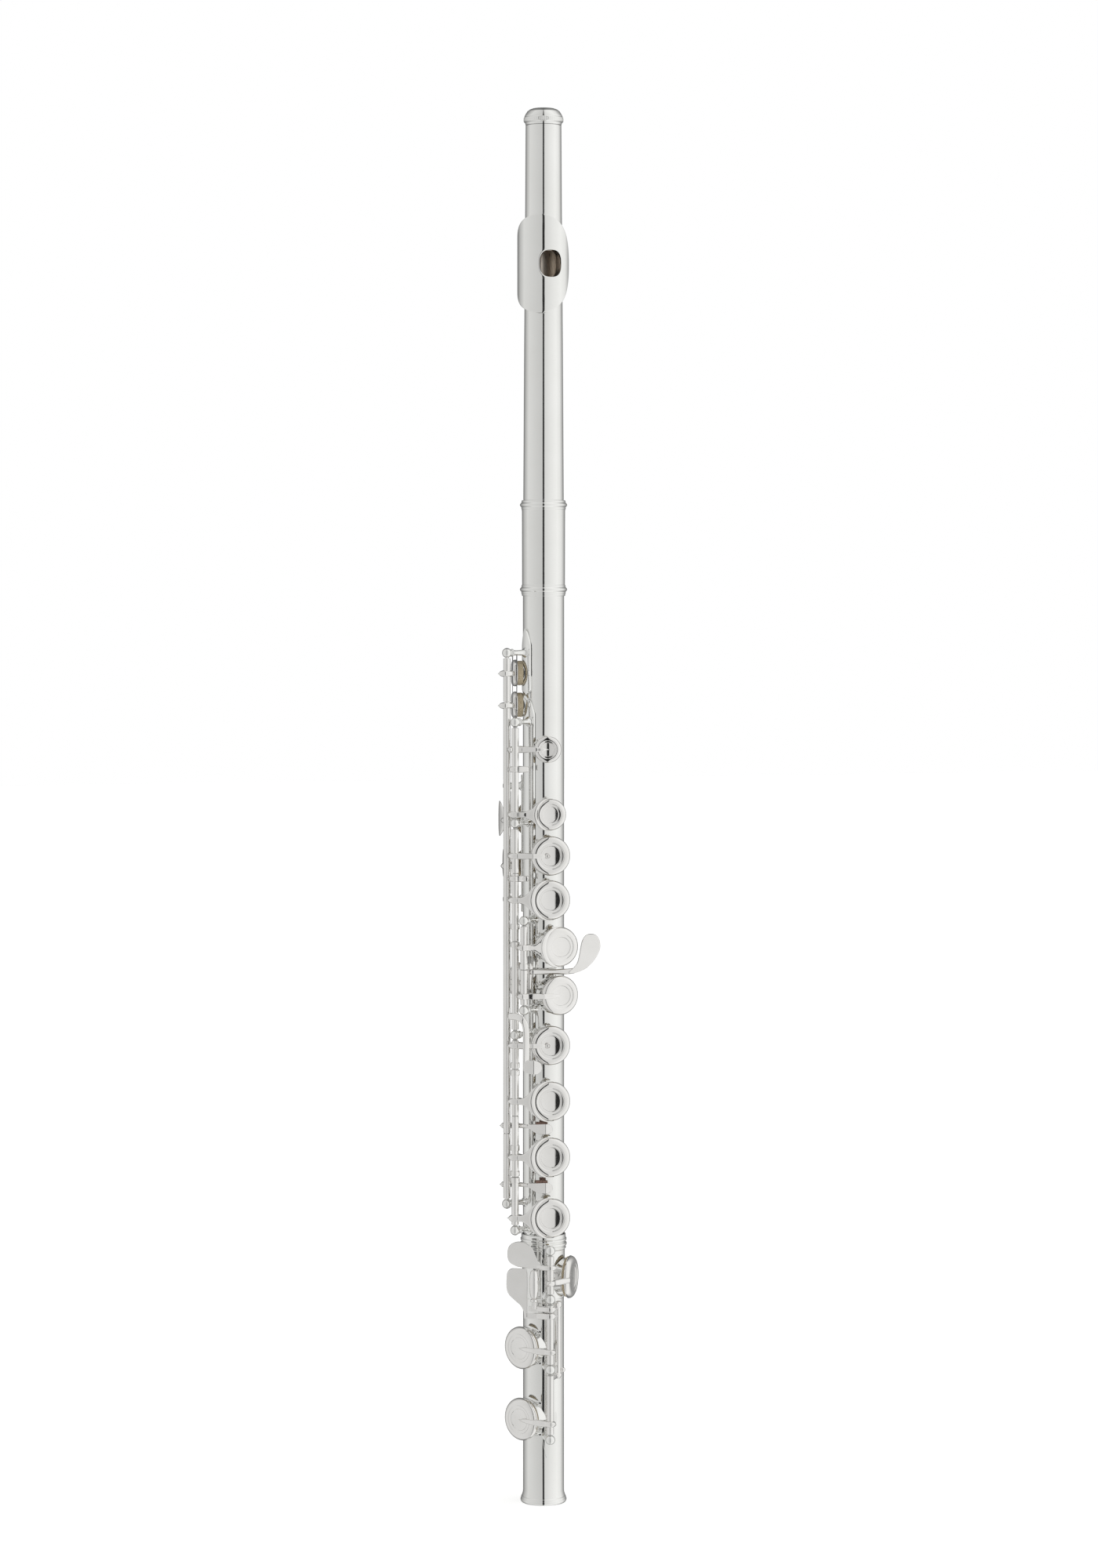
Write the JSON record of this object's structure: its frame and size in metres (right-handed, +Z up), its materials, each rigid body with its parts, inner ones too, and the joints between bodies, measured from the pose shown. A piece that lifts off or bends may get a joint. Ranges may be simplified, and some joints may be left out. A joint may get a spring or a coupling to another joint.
{
  "type": "concert flute",
  "caption": "Silver-plated concert flute with a C foot: jointed tube with tone holes, sprung padded keys on hinge rods, a lip plate and a screw-set stopper.",
  "frame": {"origin": "on the bore axis, in the plane of the open foot end", "axes": "+Z runs up the bore from the foot end to the crown, the line of finger keys faces -Y, and the hinge rods stand on the -X side"},
  "size_m": [0.0471, 0.0426, 0.6695],
  "materials": {
    "silver_plate": "polished silver plate",
    "hinge_steel": "ground steel",
    "pad_skin": "smooth membrane over felt",
    "cork": "cut cork"
  },
  "bodies": {
    "body_joint": {"body_tube": "silver_plate", "barrel": "silver_plate", "rib_main": "silver_plate", "rib_trill": "silver_plate", "rib_thumb": "silver_plate", "steel_left_hand": "hinge_steel", "steel_right_hand": "hinge_steel", "steel_offset_g": "hinge_steel", "steel_g_sharp": "hinge_steel", "steel_thumb": "hinge_steel"},
    "head_slide": {"head_tenon": "silver_plate"},
    "head_joint": {"head_tube": "silver_plate", "lip_plate": "silver_plate", "embouchure_riser": "silver_plate"},
    "crown": {"crown": "silver_plate"},
    "stopper": {"stopper_screw": "hinge_steel", "stopper_cork": "cork"},
    "c_key": {"key_c": "silver_plate", "pad_csharp": "pad_skin", "pad_c": "pad_skin"},
    "b_flat_key": {"key_b_flat": "silver_plate", "pad_bflat": "pad_skin"},
    "a_key": {"key_a": "silver_plate", "pad_a": "pad_skin"},
    "g_key": {"key_g": "silver_plate", "pad_g": "pad_skin"},
    "upper_g_key": {"key_upper_g": "silver_plate", "pad_upper_g": "pad_skin"},
    "g_sharp_key": {"key_g_sharp": "silver_plate", "pad_gsharp": "pad_skin"},
    "thumb_b_key": {"key_thumb_b": "silver_plate", "pad_thumb_b": "pad_skin"},
    "thumb_b_flat_key": {"key_thumb_b_flat": "silver_plate", "pad_thumb_bflat": "pad_skin"},
    "side_lever": {"lever_b_flat": "silver_plate"},
    "f_sharp_key": {"key_f_sharp": "silver_plate", "pad_fsharp": "pad_skin"},
    "f_key": {"key_f": "silver_plate", "pad_f": "pad_skin"},
    "e_key": {"key_e": "silver_plate", "pad_e": "pad_skin"},
    "d_key": {"key_d": "silver_plate", "pad_d": "pad_skin"},
    "trill_d_key": {"key_trill_d": "silver_plate", "pad_trill_d": "pad_skin"},
    "trill_d_sharp_key": {"key_trill_d_sharp": "silver_plate", "pad_trill_dsharp": "pad_skin"},
    "foot_joint": {"foot_tube": "silver_plate", "foot_rib": "silver_plate", "steel_foot": "hinge_steel"},
    "foot_d_sharp_key": {"key_foot_d_sharp": "silver_plate", "pad_foot_dsharp": "pad_skin"},
    "foot_c_sharp_key": {"key_foot_c_sharp": "silver_plate", "pad_foot_csharp": "pad_skin"},
    "foot_c_key": {"key_foot_c": "silver_plate", "pad_foot_c": "pad_skin"},
    "roller": {"roller_c": "silver_plate"}
  },
  "joints": [
    {"name": "tuning_slide", "type": "slide", "parent": "body_joint", "child": "head_slide", "axis": [0, 0, 1], "range_m": [0, 0.015]},
    {"name": "head_turn", "type": "hinge", "parent": "head_slide", "child": "head_joint", "pos_m": [0, 0, 0.4812], "axis": [0, 0, 1], "continuous": true},
    {"name": "crown_turn", "type": "hinge", "parent": "head_joint", "child": "crown", "pos_m": [0, 0, 0.6613], "axis": [0, 0, 1], "range_deg": [-360, 360]},
    {"name": "stopper_shift", "type": "slide", "parent": "head_joint", "child": "stopper", "axis": [0, 0, 1], "range_m": [-0.0008, 0.0008]},
    {"name": "foot_turn", "type": "hinge", "parent": "body_joint", "child": "foot_joint", "pos_m": [0, 0, 0.115], "axis": [0, 0, 1], "continuous": true},
    {"name": "c_key_hinge", "type": "hinge", "parent": "body_joint", "child": "c_key", "pos_m": [-0.01673, -0.01185, 0.3508], "axis": [0, 0, 1], "range_deg": [0, 7.5], "stiffness_Nm_per_rad": 0.02, "springref_deg": -8.59},
    {"name": "b_flat_key_hinge", "type": "hinge", "parent": "body_joint", "child": "b_flat_key", "pos_m": [-0.01673, -0.01185, 0.31345], "axis": [0, 0, 1], "range_deg": [0, 7.5], "stiffness_Nm_per_rad": 0.02, "springref_deg": -8.59},
    {"name": "a_key_hinge", "type": "hinge", "parent": "body_joint", "child": "a_key", "pos_m": [-0.01673, -0.01185, 0.28665], "axis": [0, 0, 1], "range_deg": [0, 7.5], "stiffness_Nm_per_rad": 0.02, "springref_deg": -8.59},
    {"name": "g_key_hinge", "type": "hinge", "parent": "body_joint", "child": "g_key", "pos_m": [-0.01331, -0.01559, 0.2675], "axis": [0, 0, 1], "range_deg": [0, 7.5], "stiffness_Nm_per_rad": 0.02, "springref_deg": -8.59},
    {"name": "upper_g_key_hinge", "type": "hinge", "parent": "body_joint", "child": "upper_g_key", "pos_m": [-0.01331, -0.01559, 0.24875], "axis": [0, 0, 1], "range_deg": [0, 7.5], "stiffness_Nm_per_rad": 0.02, "springref_deg": -8.59},
    {"name": "g_sharp_key_hinge", "type": "hinge", "parent": "body_joint", "child": "g_sharp_key", "pos_m": [-0.00921, -0.00987, 0.2535], "axis": [0, 0, 1], "range_deg": [0, 6], "stiffness_Nm_per_rad": 0.02, "springref_deg": -8.59},
    {"name": "thumb_b_key_hinge", "type": "hinge", "parent": "body_joint", "child": "thumb_b_key", "pos_m": [-0.01628, 0.00641, 0.32975], "axis": [0, 0, -1], "range_deg": [0, 7.5], "stiffness_Nm_per_rad": 0.02, "springref_deg": -8.59},
    {"name": "thumb_b_flat_key_hinge", "type": "hinge", "parent": "body_joint", "child": "thumb_b_flat_key", "pos_m": [-0.01628, 0.00641, 0.305], "axis": [0, 0, -1], "range_deg": [0, 7.5], "stiffness_Nm_per_rad": 0.02, "springref_deg": -8.59},
    {"name": "side_lever_hinge", "type": "hinge", "parent": "body_joint", "child": "side_lever", "pos_m": [-0.01673, -0.01185, 0.24935], "axis": [0, 0, 1], "range_deg": [0, 3], "stiffness_Nm_per_rad": 0.02, "springref_deg": -8.59},
    {"name": "f_sharp_key_hinge", "type": "hinge", "parent": "body_joint", "child": "f_sharp_key", "pos_m": [-0.01673, -0.01185, 0.21635], "axis": [0, 0, 1], "range_deg": [0, 7.5], "stiffness_Nm_per_rad": 0.02, "springref_deg": -8.59},
    {"name": "f_key_hinge", "type": "hinge", "parent": "body_joint", "child": "f_key", "pos_m": [-0.01673, -0.01185, 0.1984], "axis": [0, 0, 1], "range_deg": [0, 7.5], "stiffness_Nm_per_rad": 0.02, "springref_deg": -8.59},
    {"name": "e_key_hinge", "type": "hinge", "parent": "body_joint", "child": "e_key", "pos_m": [-0.01673, -0.01185, 0.1727], "axis": [0, 0, 1], "range_deg": [0, 7.5], "stiffness_Nm_per_rad": 0.02, "springref_deg": -8.59},
    {"name": "d_key_hinge", "type": "hinge", "parent": "body_joint", "child": "d_key", "pos_m": [-0.01673, -0.01185, 0.14665], "axis": [0, 0, 1], "range_deg": [0, 7.5], "stiffness_Nm_per_rad": 0.02, "springref_deg": -8.59},
    {"name": "trill_d_key_hinge", "type": "hinge", "parent": "body_joint", "child": "trill_d_key", "pos_m": [-0.01977, -0.00751, 0.28155], "axis": [0, 0, 1], "range_deg": [0, 12], "stiffness_Nm_per_rad": 0.02, "springref_deg": -8.59},
    {"name": "trill_d_sharp_key_hinge", "type": "hinge", "parent": "body_joint", "child": "trill_d_sharp_key", "pos_m": [-0.01977, -0.00751, 0.2763], "axis": [0, 0, 1], "range_deg": [0, 12], "stiffness_Nm_per_rad": 0.02, "springref_deg": -8.59},
    {"name": "foot_d_sharp_key_hinge", "type": "hinge", "parent": "foot_joint", "child": "foot_d_sharp_key", "pos_m": [-0.00161, -0.02044, 0.1121], "axis": [0, 0, -1], "range_deg": [0, 7], "stiffness_Nm_per_rad": 0.02, "springref_deg": -8.59},
    {"name": "foot_c_sharp_key_hinge", "type": "hinge", "parent": "foot_joint", "child": "foot_c_sharp_key", "pos_m": [-0.00161, -0.02044, 0.08195], "axis": [0, 0, -1], "range_deg": [0, 5.5], "stiffness_Nm_per_rad": 0.02, "springref_deg": -8.59},
    {"name": "foot_c_key_hinge", "type": "hinge", "parent": "foot_joint", "child": "foot_c_key", "pos_m": [-0.00161, -0.02044, 0.067], "axis": [0, 0, -1], "range_deg": [0, 5.5], "stiffness_Nm_per_rad": 0.02, "springref_deg": -8.59},
    {"name": "roller_spin", "type": "hinge", "parent": "foot_c_key", "child": "roller", "pos_m": [-0.00905, -0.01874, 0.1081], "axis": [0, 0, 1], "continuous": true}
  ],
  "couplings": [
    {"joint": "stopper_shift", "follows": "crown_turn", "m_per_rad": 0.00012732},
    {"joint": "b_flat_key_hinge", "follows": "a_key_hinge", "ratio": 1},
    {"joint": "upper_g_key_hinge", "follows": "g_key_hinge", "ratio": 1},
    {"joint": "f_sharp_key_hinge", "follows": "f_key_hinge", "ratio": 1}
  ]
}
